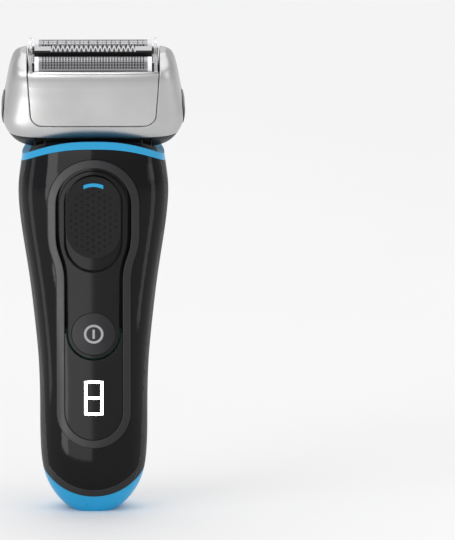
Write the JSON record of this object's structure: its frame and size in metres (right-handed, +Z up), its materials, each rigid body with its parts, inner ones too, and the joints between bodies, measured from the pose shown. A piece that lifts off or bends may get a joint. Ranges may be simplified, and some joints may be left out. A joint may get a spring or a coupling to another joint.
{
  "type": "electric shaver",
  "caption": "Upright cordless foil shaver: tapered black handle with a sliding head lock, power button and digit display, and a tilting silver head with foils and a middle trimmer.",
  "frame": {"origin": "centre of the flat foot under the handle", "axes": "+Z up along the handle to the head, -Y out of the front with the controls, +X to the right seen from the front"},
  "size_m": [0.0615, 0.0304, 0.1601],
  "materials": {
    "front_housing": "glossy black",
    "rear_housing": "soft-touch black",
    "base_trim": "satin dark grey",
    "base_cap": "bright blue",
    "power_socket": "moulded black",
    "charging_contacts": "plated contact",
    "neck_ring": "bright blue",
    "saddle_plate": "black",
    "control_bezel": "satin dark grey",
    "display_window": "glossy black",
    "display_segments": "glowing white",
    "switch_plate": "glossy black",
    "chassis": "moulded black",
    "chassis_screws": "steel",
    "rocker_pin": "steel",
    "pivot_bushes": "plated contact",
    "battery": "wrapped cell",
    "battery_tabs": "steel",
    "circuit_board": "green board",
    "board_components": "moulded black",
    "power_button": "black",
    "power_icon": "printed grey",
    "lock_pad": "soft-touch black",
    "lock_marker": "bright blue",
    "lock_slider": "moulded black",
    "lock_rocker": "moulded black",
    "lock_bolt": "white plastic",
    "head_frame": "satin silver",
    "head_underside": "black",
    "swivel_drum": "black",
    "pivot_pins": "steel",
    "release_springs": "steel",
    "motor_frame": "moulded black",
    "motor_screws": "steel",
    "stator_core": "steel",
    "stator_coil": "copper winding",
    "armature_springs": "steel",
    "drive_seals": "rubber seal",
    "release_button_left": "black",
    "release_button_right": "black",
    "armature_front": "steel",
    "armature_rear": "steel",
    "cassette_front_panel": "satin silver",
    "cassette_rear_panel": "satin silver",
    "cassette_frame": "black",
    "cassette_rim": "satin silver",
    "foil_end_guards": "clear moulding",
    "suspension_springs": "steel",
    "front_foil": "steel",
    "front_foil_clips": "white plastic",
    "front_blades": "white plastic",
    "rear_foil": "steel",
    "rear_foil_clips": "white plastic",
    "rear_blades": "white plastic",
    "trimmer_comb": "steel",
    "trimmer_guard": "black",
    "trimmer_blade": "steel",
    "hair_trimmer_slide": "black",
    "hair_trimmer_comb": "steel",
    "hair_trimmer_cutter": "steel"
  },
  "bodies": {
    "handle": {"front_housing": "front_housing", "rear_housing": "rear_housing", "base_trim": "base_trim", "base_cap": "base_cap", "power_socket": "power_socket", "charging_contacts": "charging_contacts", "neck_ring": "neck_ring", "saddle_plate": "saddle_plate", "control_bezel": "control_bezel", "display_window": "display_window", "display_segments": "display_segments", "switch_plate": "switch_plate", "chassis": "chassis", "chassis_screws": "chassis_screws", "rocker_pin": "rocker_pin", "pivot_bushes": "pivot_bushes", "battery": "battery", "battery_tabs": "battery_tabs", "circuit_board": "circuit_board", "board_components": "board_components"},
    "power_button": {"power_button": "power_button", "power_icon": "power_icon"},
    "lock_switch": {"lock_pad": "lock_pad", "lock_marker": "lock_marker", "lock_slider": "lock_slider"},
    "lock_rocker": {"lock_rocker": "lock_rocker"},
    "lock_bolt": {"lock_bolt": "lock_bolt"},
    "head": {"head_frame": "head_frame", "head_underside": "head_underside", "swivel_drum": "swivel_drum", "pivot_pins": "pivot_pins", "release_springs": "release_springs", "motor_frame": "motor_frame", "motor_screws": "motor_screws", "stator_core": "stator_core", "stator_coil": "stator_coil", "armature_springs": "armature_springs", "drive_seals": "drive_seals"},
    "release_left": {"release_button_left": "release_button_left"},
    "release_right": {"release_button_right": "release_button_right"},
    "armature_front": {"armature_front": "armature_front"},
    "armature_rear": {"armature_rear": "armature_rear"},
    "cassette": {"cassette_front_panel": "cassette_front_panel", "cassette_rear_panel": "cassette_rear_panel", "cassette_frame": "cassette_frame", "cassette_rim": "cassette_rim", "foil_end_guards": "foil_end_guards", "suspension_springs": "suspension_springs"},
    "front_foil": {"front_foil": "front_foil", "front_foil_clips": "front_foil_clips"},
    "front_blades": {"front_blades": "front_blades"},
    "rear_foil": {"rear_foil": "rear_foil", "rear_foil_clips": "rear_foil_clips"},
    "rear_blades": {"rear_blades": "rear_blades"},
    "middle_trimmer": {"trimmer_comb": "trimmer_comb", "trimmer_guard": "trimmer_guard"},
    "trimmer_blade": {"trimmer_blade": "trimmer_blade"},
    "hair_trimmer": {"hair_trimmer_slide": "hair_trimmer_slide", "hair_trimmer_comb": "hair_trimmer_comb"},
    "hair_trimmer_cutter": {"hair_trimmer_cutter": "hair_trimmer_cutter"}
  },
  "joints": [
    {"name": "power_press", "type": "slide", "parent": "handle", "child": "power_button", "axis": [0, 1, 0], "range_m": [0, 0.0005], "stiffness_N_per_m": 800},
    {"name": "lock_slide", "type": "slide", "parent": "handle", "child": "lock_switch", "axis": [0, 0, -1], "range_m": [0, 0.004]},
    {"name": "rocker_turn", "type": "hinge", "parent": "handle", "child": "lock_rocker", "pos_m": [0, -0.003, 0.108], "axis": [1, 0, 0], "range_deg": [0, 44]},
    {"name": "bolt_rise", "type": "slide", "parent": "handle", "child": "lock_bolt", "axis": [0, 0, 1], "range_m": [0, 0.002]},
    {"name": "head_tilt", "type": "hinge", "parent": "handle", "child": "head", "pos_m": [0, 0, 0.141], "axis": [1, 0, 0], "range_deg": [-20, 20], "stiffness_Nm_per_rad": 0.1},
    {"name": "release_press_left", "type": "slide", "parent": "head", "child": "release_left", "axis": [1, 0, 0], "range_m": [0, 0.0008], "stiffness_N_per_m": 600},
    {"name": "release_press_right", "type": "slide", "parent": "head", "child": "release_right", "axis": [-1, 0, 0], "range_m": [0, 0.0008], "stiffness_N_per_m": 600},
    {"name": "drive_front", "type": "slide", "parent": "head", "child": "armature_front", "axis": [1, 0, 0], "range_m": [-0.001, 0.001], "stiffness_N_per_m": 400},
    {"name": "drive_rear", "type": "slide", "parent": "head", "child": "armature_rear", "axis": [1, 0, 0], "range_m": [-0.001, 0.001]},
    {"name": "cassette_lift", "type": "slide", "parent": "head", "child": "cassette", "axis": [0, -0.225, 0.9744], "range_m": [0, 0.022]},
    {"name": "front_foil_float", "type": "slide", "parent": "cassette", "child": "front_foil", "axis": [0, 0.225, -0.9744], "range_m": [0, 0.0015], "stiffness_N_per_m": 250},
    {"name": "rear_foil_float", "type": "slide", "parent": "cassette", "child": "rear_foil", "axis": [0, 0.225, -0.9744], "range_m": [0, 0.0015], "stiffness_N_per_m": 250},
    {"name": "middle_trimmer_float", "type": "slide", "parent": "cassette", "child": "middle_trimmer", "axis": [0, 0.225, -0.9744], "range_m": [0, 0.0015], "stiffness_N_per_m": 250},
    {"name": "front_blades_swing", "type": "slide", "parent": "front_foil", "child": "front_blades", "axis": [1, 0, 0], "range_m": [-0.001, 0.001]},
    {"name": "rear_blades_swing", "type": "slide", "parent": "rear_foil", "child": "rear_blades", "axis": [1, 0, 0], "range_m": [-0.001, 0.001]},
    {"name": "trimmer_blade_swing", "type": "slide", "parent": "middle_trimmer", "child": "trimmer_blade", "axis": [1, 0, 0], "range_m": [-0.001, 0.001]},
    {"name": "hair_trimmer_rise", "type": "slide", "parent": "handle", "child": "hair_trimmer", "axis": [0, 0, 1], "range_m": [0, 0.007]},
    {"name": "hair_cutter_swing", "type": "slide", "parent": "hair_trimmer", "child": "hair_trimmer_cutter", "axis": [1, 0, 0], "range_m": [-0.0008, 0.0008]}
  ],
  "couplings": [
    {"joint": "rocker_turn", "follows": "lock_slide", "rad_per_m": 190.25},
    {"joint": "bolt_rise", "follows": "lock_slide", "ratio": 0.5},
    {"joint": "drive_rear", "follows": "drive_front", "ratio": -1},
    {"joint": "front_blades_swing", "follows": "drive_front", "ratio": 1},
    {"joint": "rear_blades_swing", "follows": "drive_front", "ratio": -1},
    {"joint": "trimmer_blade_swing", "follows": "drive_front", "ratio": 1},
    {"joint": "hair_cutter_swing", "follows": "drive_front", "ratio": 0.8}
  ]
}
